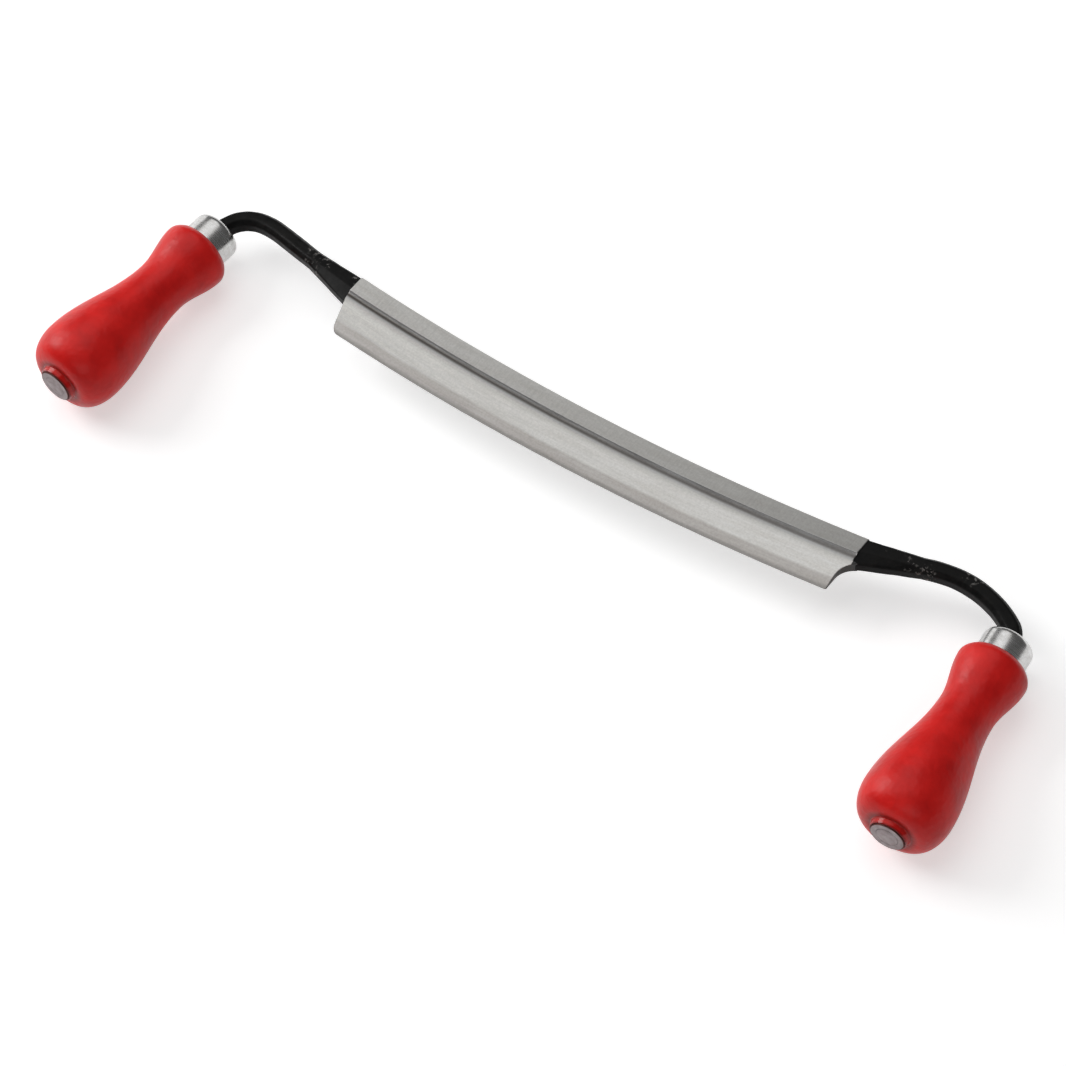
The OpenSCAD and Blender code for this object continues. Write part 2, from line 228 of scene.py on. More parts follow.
def handle_outline(steps):
    """Half outline of the handle as [distance from the butt, radius]."""
    points = [(0, BOSS_DIAMETER / 2)]
    for i in range(steps + 1):
        a = 90 * i / steps
        swell = (BELLY_DIAMETER - BOSS_BASE_DIAMETER) * sin(a) ** BUTT_POINT
        station = BOSS_HEIGHT + (BELLY_STATION - BOSS_HEIGHT) * (1 - cos(a))
        points.append((station, (BOSS_BASE_DIAMETER + swell) / 2))
    for i in range(1, steps + 1):
        t = i / steps
        station = BELLY_STATION + (WAIST_STATION - BELLY_STATION) * t
        points.append((station, (BELLY_DIAMETER + (WAIST_DIAMETER - BELLY_DIAMETER) * ease(t)) / 2))
    for i in range(1, steps + 1):
        t = i / steps
        station = WAIST_STATION + (RIM_STATION - WAIST_STATION) * t
        points.append((station, (WAIST_DIAMETER + (RIM_DIAMETER - WAIST_DIAMETER) * ease(t)) / 2))
    for i in range(1, steps // 2 + 1):
        a = 180 * i / steps
        station = RIM_STATION + (HANDLE_LENGTH - RIM_STATION) * sin(a)
        swell = (RIM_DIAMETER - SHOULDER_DIAMETER) * cos(a) ** 2
        points.append((station, (SHOULDER_DIAMETER + swell) / 2))
    return points


def pitched(p, pitch):
    y = p[1] * cos(pitch) + p[2] * sin(pitch)
    return Vector((p[0], y, p[2] * cos(pitch) - p[1] * sin(pitch)))


def handle_low(pitch, start, end):
    """Lowest point of the handle between two stations, at a pitch of the whole tool."""
    axis = pitched(HANDLE_ALONG, pitch)
    butt = pitched(HANDLE_BUTT, pitch)
    flat = math.hypot(axis[0], axis[1])
    points = [(s, r) for s, r in handle_outline(CURVE_STEPS) if start <= s <= end]
    return min(butt[2] - axis[2] * s - r * flat for s, r in points)


def balance():
    """Pitch at which the handle's belly and rim reach equally low, as the tool rests."""
    low, high = 0, PITCH_LIMIT
    for _ in range(PITCH_HALVINGS):
        middle = (low + high) / 2
        if handle_low(middle, 0, WAIST_STATION) < handle_low(middle, WAIST_STATION, HANDLE_LENGTH):
            low = middle
        else:
            high = middle
    return (low + high) / 2


REST_PITCH = balance()
REST_HEIGHT = -handle_low(REST_PITCH, 0, HANDLE_LENGTH)


def middle_of_tool():
    """Middle of the tool at rest along Y, between the handles' fronts and the arms' backs."""
    axis = pitched(HANDLE_ALONG, REST_PITCH)
    butt = pitched(HANDLE_BUTT, REST_PITCH)
    upright = math.hypot(axis[0], axis[2])
    front = min(butt[1] - axis[1] * s - r * upright for s, r in handle_outline(CURVE_STEPS))
    backs = []
    for arm in (LEFT_ARM, RIGHT_ARM):
        for a in range(int(arm.turn) + 1):
            backs.append(pitched(arm.middle(a), REST_PITCH)[1] + arm.size / 2)
    return (front + max(backs)) / 2


MIDDLE_Y = middle_of_tool()


def place(p, side=1):
    """A point of the blade's plane, in millimetres, to its place at rest, in metres."""
    q = pitched(p, REST_PITCH)
    return Vector((side * q[0], q[1] - MIDDLE_Y, q[2] + REST_HEIGHT)) * MM


def on_handle_axis(station, radius, turn):
    """A point about the right handle's axis, a distance from its butt."""
    z = -HANDLE_ALONG
    x = Vector((0, 0, 1)).cross(z).normalized()
    y = z.cross(x)
    return HANDLE_BUTT + z * station + (x * cos(turn) + y * sin(turn)) * radius


# Meshes


def make_piece(name, points, faces, uvs, material, side=1, sharp=35):
    """A closed mesh piece with a UV map in metres named flow, smooth but for its sharp edges."""
    mesh = bpy.data.meshes.new(name)
    mesh.from_pydata([place(p, side) for p in points], [], faces)
    layer = mesh.uv_layers.new(name="flow")
    for polygon, corners in zip(mesh.polygons, uvs):
        for loop, uv in zip(polygon.loop_indices, corners):
            layer.data[loop].uv = (uv[0] * MM, uv[1] * MM)
    work = bmesh.new()
    work.from_mesh(mesh)
    bmesh.ops.recalc_face_normals(work, faces=work.faces)
    work.to_mesh(mesh)
    work.free()
    for polygon in mesh.polygons:
        polygon.use_smooth = True
    mesh.set_sharp_from_angle(angle=math.radians(sharp))
    mesh.materials.append(material)
    piece = bpy.data.objects.new(name, mesh)
    bpy.context.scene.collection.objects.link(piece)
    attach(piece, "root")
    return piece


def rounded(points, radius, steps=4, closed=True):
    """The polygon with each corner rounded off by up to the radius."""
    out = []
    count = len(points)
    for i, p in enumerate(points):
        if not closed and i in (0, count - 1):
            out.append(tuple(p))
            continue
        p = Vector(p)
        before = Vector(points[i - 1]) - p
        after = Vector(points[(i + 1) % count]) - p
        cut = min(radius, before.length / 2.1, after.length / 2.1)
        a = p + before.normalized() * cut
        b = p + after.normalized() * cut
        for k in range(steps + 1):
            t = k / steps
            out.append(tuple(a * (1 - t) ** 2 + p * 2 * t * (1 - t) + b * t**2))
    return out


def turned(name, outline, material, side, segments=128, sharp=35):
    """A piece turned about the handle's axis from its closed half section."""
    points, faces, uvs = [], [], []
    rows = len(outline)
    lengths = [0]
    for a, b in zip(outline, outline[1:] + outline[:1]):
        lengths.append(lengths[-1] + math.dist(a, b))
    widest = max(r for _, r in outline)
    around = 2 * math.pi * widest / segments
    for s, r in outline:
        for k in range(segments):
            points.append(on_handle_axis(s, r, 360 * k / segments))
    for i in range(rows):
        j = (i + 1) % rows
        for k in range(segments):
            n = (k + 1) % segments
            faces.append((i * segments + k, i * segments + n, j * segments + n, j * segments + k))
            u, v = around * k, around * (k + 1)
            uvs.append(((u, lengths[i]), (v, lengths[i]), (v, lengths[i + 1]), (u, lengths[i + 1])))
    return make_piece(name, points, faces, uvs, material, side, sharp)


def hollow_arc(p, q, radius, steps):
    """Points of an arc from p to q, hollow towards its left-hand side, as in the CAD."""
    p, q = Vector(p), Vector(q)
    along = (q - p).normalized()
    half = (q - p).length / 2
    centre = (p + q) / 2 + Vector((-along[1], along[0])) * math.sqrt(radius**2 - half**2)
    start = math.atan2(p[1] - centre[1], p[0] - centre[0])
    sweep = 2 * math.asin(half / radius)
    angles = [start + sweep * i / steps for i in range(steps + 1)]
    return [(centre[0] + radius * math.cos(a), centre[1] + radius * math.sin(a)) for a in angles]


def blade_top():
    """Upper half of the blade's section as [distance from the spine, height]."""
    groove_shade_fade = (LAND_WIDTH + GROOVE_WIDTH, -GROOVE_DEPTH)
    hone = (BLADE_WIDTH - HONE_WIDTH, EDGE_THICKNESS + HONE_HEIGHT - BLADE_THICKNESS)
    rise = HONE_HEIGHT / HONE_WIDTH
    land_flat = LAND_WIDTH - SPINE_CHAMFER
    land = [(SPINE_CHAMFER + land_flat * i / LAND_ROWS, 0) for i in range(LAND_ROWS)]
    arc = hollow_arc((LAND_WIDTH, 0), groove_shade_fade, GROOVE_WIDTH * GROOVE_HOLLOW, GROOVE_ROWS)
    hollow = hollow_arc(groove_shade_fade, hone, HOLLOW_RADIUS, HOLLOW_ROWS)
    flat = []
    for i in range(1, HONE_ROWS + 1):
        out = HONE_WIDTH * (1 - (1 - i / HONE_ROWS) ** HONE_CROWDING)
        flat.append((hone[0] + out, hone[1] - out * rise))
    return [(0, -SPINE_CHAMFER)] + land + arc + hollow[1:] + flat


def hollow_heel():
    """Right end of the blade from above, hollow at the arm, with the edge's corner just broken."""
    foot = Vector((HALF_CHORD - ROOT_OVERLAP, -ARM_ROOT_WIDTH))
    along = Vector((cos(RIGHT_SWEEP), sin(RIGHT_SWEEP)))
    toe = Vector((HALF_CHORD, -ARM_MIDDLE)) + along * ARM_ROOT_LENGTH
    toe += Vector((along[1], -along[0])) * RIGHT_SIZE / 2
    slope = math.degrees(math.atan2(toe[1] - foot[1], toe[0] - foot[0]))
    x = HALF_CHORD - HEEL_SETBACK + HEEL_RADIUS
    y = foot[1] + (x - foot[0]) * sin(slope) / cos(slope)
    y -= (HEEL_RADIUS - HEEL_BITE) / cos(slope)
    points = [(HALF_CHORD, 0), (HALF_CHORD, ARM_CHAMFER - ARM_ROOT_WIDTH)]
    points.append((x - HEEL_RADIUS * sin(slope), ARM_CHAMFER - ARM_ROOT_WIDTH))
    for i in range(17):
        a = 90 + slope + (90 - slope) * i / 16
        points.append((x + HEEL_RADIUS * cos(a), y + HEEL_RADIUS * sin(a)))
    heel = HALF_CHORD - HEEL_SETBACK
    foot_y = CURVE_CENTRE_Y - math.sqrt((SPINE_RADIUS + BLADE_WIDTH) ** 2 - heel**2)
    for i in range(7):
        a = 90 * i / 6
        points.append((heel - HEEL_BREAK * (1 - cos(a)), foot_y + HEEL_BREAK * (1 - sin(a))))
    return points


def slanted_heel():
    """Left end of the blade from above, drawn on the right, with the edge's corner worn round."""
    inward = Vector((-cos(HEEL_SLANT), sin(HEEL_SLANT)))
    down = Vector((-sin(HEEL_SLANT), -cos(HEEL_SLANT)))
    top = Vector((HALF_CHORD, ARM_CHAMFER - ARM_ROOT_WIDTH - CURVE_CENTRE_Y)) + inward * HEEL_CORNER
    reach = SPINE_RADIUS + BLADE_WIDTH - HEEL_CORNER
    drop = math.sqrt(top.dot(down) ** 2 - top.dot(top) + reach**2) - top.dot(down)
    middle = top + down * drop + Vector((0, CURVE_CENTRE_Y))
    points = [(HALF_CHORD, 0), (HALF_CHORD, ARM_CHAMFER - ARM_ROOT_WIDTH)]
    for i in range(17):
        a = -HEEL_SLANT - (84 - HEEL_SLANT) * i / 16
        points.append((middle[0] + HEEL_CORNER * cos(a), middle[1] + HEEL_CORNER * sin(a)))
    return points


def heel_reach(heel):
    """The heel's points as [distance from the spine, angle about the centre of the blade's curve]."""
    out = []
    for x, y in heel:
        inward = CURVE_CENTRE_Y - y
        out.append((math.hypot(x, inward) - SPINE_RADIUS, math.atan2(x, inward)))
    return out


def reach_at(reach, d):
    """How far the blade reaches, as an angle, at a distance from its spine."""
    for (d0, a0), (d1, a1) in zip(reach, reach[1:]):
        if d < d1:
            return a0 + (a1 - a0) * max(0, d - d0) / (d1 - d0)
    return reach[-1][1]


def make_blade(material):
    """The blade as a grid of rows from end to end, its rows a share of the reach at their distance."""
    top = blade_top()
    count = len(top)
    inner = [INNER_START + (1 - INNER_START) * i / INNER_ROWS for i in range(INNER_ROWS + 1)]
    side = [-1 + e for e in END_ROWS] + [-1 + e for e in inner]
    us = side + [-u for u in reversed(side[:-1])]
    left = heel_reach(slanted_heel())
    right = heel_reach(hollow_heel())
    points, faces, uvs = [], [], []
    for u in us:
        end_drop = END_WEAR * max(0, 1 - (1 - abs(u)) / END_WEAR_SHARE)
        ripple = RIPPLE_DEPTH * abs(noise.noise(Vector((u * RIPPLES, 0, 0))))
        upper, lower = [], []
        for d, z in top:
            near_edge = max(0, (d - RIPPLE_START) / (BLADE_WIDTH - RIPPLE_START))
            radius = SPINE_RADIUS + max(0, d - ripple * near_edge)
            a = u * reach_at(left if u < 0 else right, d)
            x, y = radius * math.sin(a), CURVE_CENTRE_Y - radius * math.cos(a)
            upper.append(Vector((x, y, max(z - end_drop, THINNEST - BLADE_THICKNESS))))
            lower.append(Vector((x, y, (SPINE_CHAMFER if d == 0 else 0) - BLADE_THICKNESS)))
        points += upper + lower
    ring = 2 * count

    def uv(i, j):
        return (us[i] * HALF_CHORD, top[j][0])

    for i in range(len(us) - 1):
        a, b = i * ring, (i + 1) * ring
        for j in range(count - 1):
            flat = (uv(i, j), uv(i, j + 1), uv(i + 1, j + 1), uv(i + 1, j))
            faces.append((a + j, a + j + 1, b + j + 1, b + j))
            uvs.append(flat)
            faces.append((a + count + j, b + count + j, b + count + j + 1, a + count + j + 1))
            uvs.append((flat[0], flat[3], flat[2], flat[1]))
        for j in (0, count - 1):
            faces.append((a + j, b + j, b + count + j, a + count + j))
            uvs.append((uv(i, j), uv(i + 1, j), uv(i + 1, j), uv(i, j)))
    for i in (0, len(us) - 1):
        a = i * ring
        for j in range(count - 1):
            faces.append((a + j, a + count + j, a + count + j + 1, a + j + 1))
            uvs.append((uv(i, j), uv(i, j), uv(i, j + 1), uv(i, j + 1)))
    return make_piece("blade", points, faces, uvs, material, sharp=28)


def softened(corners, radius):
    """A section's corners a little rounded and its sides divided."""
    corner_steps, side_cuts = 2, 4
    loop = rounded(corners, radius, corner_steps)
    out = []
    for i, (p, q) in enumerate(zip(loop, loop[1:] + loop[:1])):
        cuts = side_cuts if i % (corner_steps + 1) == corner_steps else 1
        for k in range(cuts):
            out.append((p[0] + (q[0] - p[0]) * k / cuts, p[1] + (q[1] - p[1]) * k / cuts))
    return out


def bar_section(size):
    """Section of the forged bar."""
    w, c = size / 2, ARM_CHAMFER
    corners = [(w, c - w), (w, w - c), (w - c, w), (c - w, w)]
    corners += [(-w, w - c), (-w, c - w), (c - w, -w), (w - c, -w)]
    return softened(corners, BAR_ROUNDING)


def root_section():
    """Section of the arm's root in the blade, as [along Y, height], corner for corner as the bar's."""
    c = SPINE_CHAMFER
    back, front = -2 * ROOT_INSET, -ARM_ROOT_WIDTH
    top, bottom = -ROOT_INSET, ROOT_INSET - BLADE_THICKNESS
    shoulder = GROOVE_DEPTH - LAND_WIDTH
    front_top = top - (shoulder - front) * GROOVE_DEPTH / (GROOVE_WIDTH + GROOVE_DEPTH)
    corners = [(back, bottom + c), (back, top - c), (back - c, top), (shoulder, top)]
    corners += [(front, front_top), (front, bottom + c), (front + c, bottom), (back - c, bottom)]
    return softened(corners, ROOT_ROUNDING)


def arm_rings(arm):
    """Rings of points along the arm, from inside the blade to inside the ferrule."""
    section = bar_section(arm.size)
    up = arm.side.cross(arm.along)
    stations = []
    for i in range(STRAIGHT_RINGS + 1):
        ahead = ARM_ROOT_LENGTH + (arm.straight - ARM_ROOT_LENGTH) * i / STRAIGHT_RINGS
        stations.append((ARM_START + arm.along * ahead, arm.radial(0)))
    for begin, end in ((0, arm.curve), (arm.curve, arm.turn)):
        for i in range(1, BEND_RINGS + 1):
            a = begin + (end - begin) * i / BEND_RINGS
            stations.append((arm.middle(a), arm.radial(a)))
    bar = [[middle + out * p[0] + up * p[1] for p in section] for middle, out in stations]
    first = [Vector((HALF_CHORD - ROOT_OVERLAP, p[0], p[1])) for p in root_section()]
    root = [[p.lerp(q, i / ROOT_RINGS) for p, q in zip(first, bar[0])] for i in range(ROOT_RINGS)]
    return root + bar


def make_arm(name, arm, material, side, seed):
    """An arm whose surface is dented and pitted inwards, differently for each seed."""
    rings = arm_rings(arm)
    count = len(rings[0])
    points, faces, uvs = [], [], []
    lengths = [0]
    for a, b in zip(rings, rings[1:]):
        lengths.append(lengths[-1] + (sum(b, Vector()) / count - sum(a, Vector()) / count).length)
    for ring in rings:
        middle = sum(ring, Vector()) / count
        for p in ring:
            spot = p + Vector((seed, 0, 0))
            dent = 0.5 + 0.5 * noise.noise(spot / DENT_SPREAD)
            pit = 0.5 + 0.5 * noise.noise(spot / PIT_SPREAD)
            inward = (middle - p).normalized()
            points.append(p + inward * (DENT_DEPTH * dent + PIT_DEPTH * pit))
    for i in range(len(rings) - 1):
        for j in range(count):
            n = (j + 1) % count
            faces.append((i * count + j, i * count + n, (i + 1) * count + n, (i + 1) * count + j))
            u, v = ARM_GIRTH * j / count, ARM_GIRTH * (j + 1) / count
            uvs.append(((u, lengths[i]), (v, lengths[i]), (v, lengths[i + 1]), (u, lengths[i + 1])))
    for i in (0, len(rings) - 1):
        faces.append(tuple(i * count + j for j in range(count)))
        uvs.append([(p[0], p[1]) for p in rings[i]])
    return make_piece(name, points, faces, uvs, material, side, sharp=30)


# Materials


class Graph:
    """A material's node tree, built node by node."""

    def __init__(self, name):
        self.material = bpy.data.materials.new(name)
        self.material.use_nodes = True
        self.tree = self.material.node_tree
        self.tree.nodes.clear()
        self.output = self.tree.nodes.new("ShaderNodeOutputMaterial")

    def node(self, kind, links=None, values=None, **settings):
        made = self.tree.nodes.new(kind)
        for key, value in settings.items():
            setattr(made, key, value)
        for key, value in (values or {}).items():
            made.inputs[key].default_value = value
        for key, source in (links or {}).items():
            self.tree.links.new(source, made.inputs[key])
        return made

    def flow(self, scale):
        """The piece's own UV map, in metres, stretched by a scale for each axis."""
        uv = self.node("ShaderNodeUVMap", uv_map="flow")
        mapped = self.node("ShaderNodeMapping", {"Vector": uv.outputs[0]}, {"Scale": scale})
        return mapped.outputs[0]

    def solid(self, scale):
        """The piece's own coordinates, in metres, stretched by a scale for each axis."""
        spot = self.node("ShaderNodeTexCoord").outputs["Object"]
        return self.node("ShaderNodeMapping", {"Vector": spot}, {"Scale": scale}).outputs[0]

    def noise(self, vector, scale=1, detail=3, roughness=0.5):
        values = {"Scale": scale, "Detail": detail, "Roughness": roughness}
        return self.node("ShaderNodeTexNoise", {"Vector": vector}, values).outputs["Fac"]

    def ramp(self, source, stops):
        """Colours between the stops, each of which is a position and a colour."""
        made = self.node("ShaderNodeValToRGB", {"Fac": source})
        elements = made.color_ramp.elements
        while len(elements) < len(stops):
            elements.new(0.5)
        for element, (position, colour) in zip(elements, stops):
            element.position = position
            element.color = (*colour, 1)
        return made.outputs["Color"]

    def mix(self, factor, a, b, blend="MIX"):
        made = self.node("ShaderNodeMix", data_type="RGBA", blend_type=blend)
        for socket, value in ((made.inputs[0], factor), (made.inputs[6], a), (made.inputs[7], b)):
            if isinstance(value, bpy.types.NodeSocket):
                self.tree.links.new(value, socket)
            elif isinstance(value, (int, float)):
                socket.default_value = value
            else:
                socket.default_value = (*value, 1)
        return made.outputs[2]

    def math(self, operation, a, b=0.0):
        made = self.node("ShaderNodeMath", operation=operation)
        for socket, value in ((made.inputs[0], a), (made.inputs[1], b)):
            if isinstance(value, bpy.types.NodeSocket):
                self.tree.links.new(value, socket)
            else:
                socket.default_value = value
        return made.outputs[0]

    def remap(self, source, low, high, start=0, end=1):
        """The source's range from start to end turned into one from low to high."""
        values = {"From Min": start, "From Max": end, "To Min": low, "To Max": high}
        return self.node("ShaderNodeMapRange", {"Value": source}, values).outputs[0]

    def bump(self, height, distance, strength=1, under=None):
        links = {"Height": height}
        if under is not None:
            links["Normal"] = under
        values = {"Distance": distance, "Strength": strength}
        return self.node("ShaderNodeBump", links, values).outputs[0]

    def shade(self, links, values):
        shader = self.node("ShaderNodeBsdfPrincipled", links, values)
        self.tree.links.new(shader.outputs[0], self.output.inputs[0])
        return self.material


def grey(value):
    return (value, value, value)


LACQUER_BLACK = (0.004, 0.0038, 0.0036)


def blade_steel():
    """Ground steel: cross-ground land, a groove with painted shade, softly brushed bevel and a duller
    honed strip, with painted light along the blade.
    """
    g = Graph("blade_steel")
    uv = g.node("ShaderNodeUVMap", uv_map="flow").outputs[0]
    parts = g.node("ShaderNodeSeparateXYZ", {"Vector": uv})
    along = g.math("DIVIDE", parts.outputs[0], HALF_CHORD * MM)
    across = g.math("DIVIDE", parts.outputs[1], BLADE_WIDTH * MM)
    rightward = g.remap(along, 0, 1, -1, 1)
    cross_lines = g.noise(g.flow((1500, 60, 1)), 1, 3, 0.6)
    long_lines = g.noise(g.flow((60, 1700, 1)), 1, 4, 0.6)
    grain = g.noise(g.solid((1, 1, 1)), 1100, 3, 0.6)
    blotches = g.noise(g.flow((35, 350, 1)), 1, 4, 0.6)
    wander = g.remap(g.noise(g.flow((45, 0, 1)), 1, 2, 0.5), -0.008, 0.008, 0.3, 0.7)
    station = g.math("ADD", across, wander)
    end = LAND_WIDTH / BLADE_WIDTH
    hone = 1 - HONE_WIDTH / BLADE_WIDTH
    # Painted highlight on the ledge at the land's end, and painted shade in the groove below it
    tone = g.ramp(across, [
        (0.0, (0.43, 0.425, 0.41)),
        (end - 0.02, (0.42, 0.415, 0.40)),
        (end + 0.016, grey(0.50)),
        (end + 0.038, (0.16, 0.15, 0.14)),
        (end + 0.055, (0.032, 0.028, 0.025)),
        (end + 0.075, (0.09, 0.082, 0.075)),
        (end + 0.100, grey(0.30)),
        (end + 0.140, (0.41, 0.405, 0.39)),
        (end + 0.21, (0.50, 0.495, 0.48))])
    # The groove's painted shade fades towards the right end of the blade
    groove_shade_fade = g.ramp(across, [
        (end + 0.02, grey(0)), (end + 0.05, grey(1)), (end + 0.10, grey(1)), (end + 0.14, grey(0))])
    tone = g.mix(g.math("MULTIPLY", groove_shade_fade, g.remap(along, 0, 0.30, -1, 1)), tone, grey(0.32))
    honed = g.ramp(station, [(hone - 0.02, grey(0)), (hone + 0.02, grey(1))])
    tone = g.mix(honed, tone, (0.365, 0.35, 0.335))
    rim = g.ramp(station, [(0.93, grey(0)), (0.975, grey(0.6))])
    tone = g.mix(rim, tone, (0.16, 0.155, 0.15))
    on_land = g.ramp(across, [(end - 0.01, grey(1)), (end + 0.01, grey(0))])
    grind = g.mix(on_land, long_lines, cross_lines)
    tone = g.mix(0.16, tone, g.ramp(grind, [(0.3, grey(0.25)), (0.7, grey(0.75))]), "OVERLAY")
    tone = g.mix(0.17, tone, g.ramp(grain, [(0.35, grey(0.30)), (0.65, grey(0.70))]), "OVERLAY")
    blotched = g.ramp(blotches, [(0.35, (0.42, 0.40, 0.38)), (0.65, grey(0.58))])
    tone = g.mix(0.30, tone, blotched, "OVERLAY")
    # Painted light: the bevel gets lighter and the land darker towards the right end of the blade
    bevel_painted_light = g.ramp(rightward, [(0, grey(0.40)), (1, grey(0.55))])
    land_painted_light = g.ramp(rightward, [(0, grey(0.65)), (1, grey(0.40))])
    tone = g.mix(1.0, tone, g.mix(on_land, bevel_painted_light, land_painted_light), "OVERLAY")
    end_face = g.math("GREATER_THAN", g.math("ABSOLUTE", along), 0.9996)
    tone = g.mix(end_face, tone, (0.05, 0.047, 0.044))
    spot = g.node("ShaderNodeSeparateXYZ", {"Vector": g.solid((1, 1, 1))})
    beyond = g.math("GREATER_THAN", g.math("ABSOLUTE", spot.outputs[0]), (HALF_CHORD + 0.1) * MM)
    tone = g.mix(beyond, tone, LACQUER_BLACK)
    rough = g.remap(grind, 0.32, 0.48, 0.3, 0.7)
    metal = g.remap(beyond, 0.85, 0)
    height = g.bump(grind, 0.00003, 0.5)
    height = g.bump(grain, 0.00004, 0.4, height)
    links = {"Base Color": tone, "Roughness": rough, "Normal": height, "Metallic": metal}
    return g.shade(links, {})


def black_lacquer():
    """Lacquer over forged scale, worn to bright specks on its high spots."""
    g = Graph("black_lacquer")
    coarse = g.noise(g.solid((1, 1, 1)), 260, 4, 0.6)
    fine = g.noise(g.solid((1, 1, 1)), 520, 3, 0.6)
    patch = g.noise(g.solid((1, 1, 1)), 60, 2, 0.5)
    speck = g.ramp(fine, [(0.56, grey(0)), (0.66, grey(1))])
    spot = g.node("ShaderNodeSeparateXYZ", {"Vector": g.solid((1, 1, 1))})
    out = g.remap(g.math("ABSOLUTE", spot.outputs[0]), 0, 1, 0.125, 0.185)
    worn = g.ramp(out, [(0.1, grey(0)), (0.25, grey(0.18)), (0.45, grey(0.18)), (0.6, grey(0))])
    handled = g.ramp(g.math("ADD", patch, worn), [(0.60, grey(0)), (0.68, grey(1))])
    specks = g.math("MULTIPLY", speck, handled)
    colour = g.ramp(coarse, [(0.3, (0.004, 0.004, 0.004)), (0.7, (0.010, 0.0096, 0.0092))])
    colour = g.mix(specks, colour, (0.22, 0.21, 0.20))
    rough = g.remap(coarse, 0.30, 0.50, 0.3, 0.7)
    height = g.bump(coarse, 0.0003, 0.6)
    height = g.bump(fine, 0.00008, 0.4, height)
    links = {"Base Color": colour, "Roughness": rough, "Normal": height}
    return g.shade(links, {"Specular IOR Level": 0.08})


def red_lacquer():
    """Gloss lacquer over turned wood, uneven as if dipped, with painted shade round the boss."""
    g = Graph("red_lacquer")
    uv = g.node("ShaderNodeUVMap", uv_map="flow").outputs[0]
    run = g.node("ShaderNodeSeparateXYZ", {"Vector": uv}).outputs[1]
    cloud = g.noise(g.solid((1, 1, 1)), 90, 3, 0.55)
    grain = g.noise(g.flow((700, 24, 1)), 1, 3, 0.55)
    dimple = g.noise(g.solid((1, 1, 1)), 420, 2, 0.4)
    colour = g.ramp(cloud, [(0.3, (0.62, 0.010, 0.009)), (0.7, (0.82, 0.015, 0.012))])
    colour = g.mix(0.08, colour, g.ramp(grain, [(0.35, grey(0.40)), (0.65, grey(0.60))]), "OVERLAY")
    over_lip = 0.9
    lip = RECESS_DEPTH + over_lip
    corner = lip + BOSS_HEIGHT
    reach = 2 * corner
    station = g.remap(run, 0, 1, 0, reach * MM)
    # Painted shade: dark in the recess and on its lip beside the washer, lighter on the boss's wall,
    # dark again in the corner at its foot
    painted_boss_shade = g.ramp(station, [
        (0, grey(0.9)),
        ((lip - 0.5) / reach, grey(0.9)),
        ((lip + 0.4) / reach, grey(0.25)),
        ((corner - 1) / reach, grey(0.45)),
        (corner / reach, grey(0.8)),
        ((corner + 2.5) / reach, grey(0))])
    colour = g.mix(painted_boss_shade, colour, (0.20, 0.006, 0.004))
    pooled = g.ramp(station, [
        ((lip - 0.6) / reach, grey(1)),
        ((corner - 0.8) / reach, grey(1)),
        (corner / reach, grey(0))])
    rough = g.remap(cloud, 0.30, 0.44, 0.3, 0.7)
    rough = g.math("SUBTRACT", rough, g.math("MULTIPLY", pooled, 0.27))
    height = g.bump(dimple, 0.0005, 0.4)
    links = {"Base Color": colour, "Roughness": rough, "Normal": height}
    return g.shade(links, {"Specular IOR Level": 0.24})


def turned_steel(name, tone, rough_low, rough_high):
    """Bright steel with fine turning lines round its axis, a few scratches and dull spots."""
    g = Graph(name)
    lines = g.noise(g.flow((12, 3600, 1)), 1, 2, 0.5)
    spots = g.noise(g.solid((1, 1, 1)), 420, 4, 0.65)
    scratch = g.noise(g.flow((1300, 40, 1)), 1, 2, 0.5)
    low, high = tone * 0.8, tone * 1.1
    colour = g.ramp(spots, [(0.3, (low, low * 0.98, low * 0.95)), (0.7, grey(high))])
    rough = g.remap(lines, rough_low, rough_high, 0.3, 0.7)
    height = g.bump(lines, 0.00001, 0.1)
    height = g.bump(scratch, 0.00002, 0.1, height)
    links = {"Base Color": colour, "Roughness": rough, "Normal": height}
    return g.shade(links, {"Metallic": 1})


def dull_steel(name, rim):
    """Stamped, filed and stained steel, with painted shade in dark brown over the first rim
    millimetres of its section.
    """
    g = Graph(name)
    uv = g.node("ShaderNodeUVMap", uv_map="flow").outputs[0]
    run = g.node("ShaderNodeSeparateXYZ", {"Vector": uv}).outputs[1]
    stain = g.noise(g.solid((1, 1, 1)), 330, 4, 0.6)
    file_marks = g.noise(g.solid((300, 2400, 300)), 1, 3, 0.6)
    colour = g.ramp(stain, [
        (0.3, (0.22, 0.18, 0.18)),
        (0.5, (0.29, 0.245, 0.25)),
        (0.7, (0.36, 0.32, 0.32))])
    # Painted shade: dark brown over the first rim millimetres of the section, at the washer's edge
    painted_rim_shade = g.math("LESS_THAN", run, rim * MM)
    colour = g.mix(painted_rim_shade, colour, (0.10, 0.035, 0.03))
    rough = g.remap(file_marks, 0.42, 0.6, 0.3, 0.7)
    height = g.bump(file_marks, 0.00004, 0.5)
    links = {"Base Color": colour, "Roughness": rough, "Normal": height}
    return g.shade(links, {"Metallic": 0.8})


# The tool


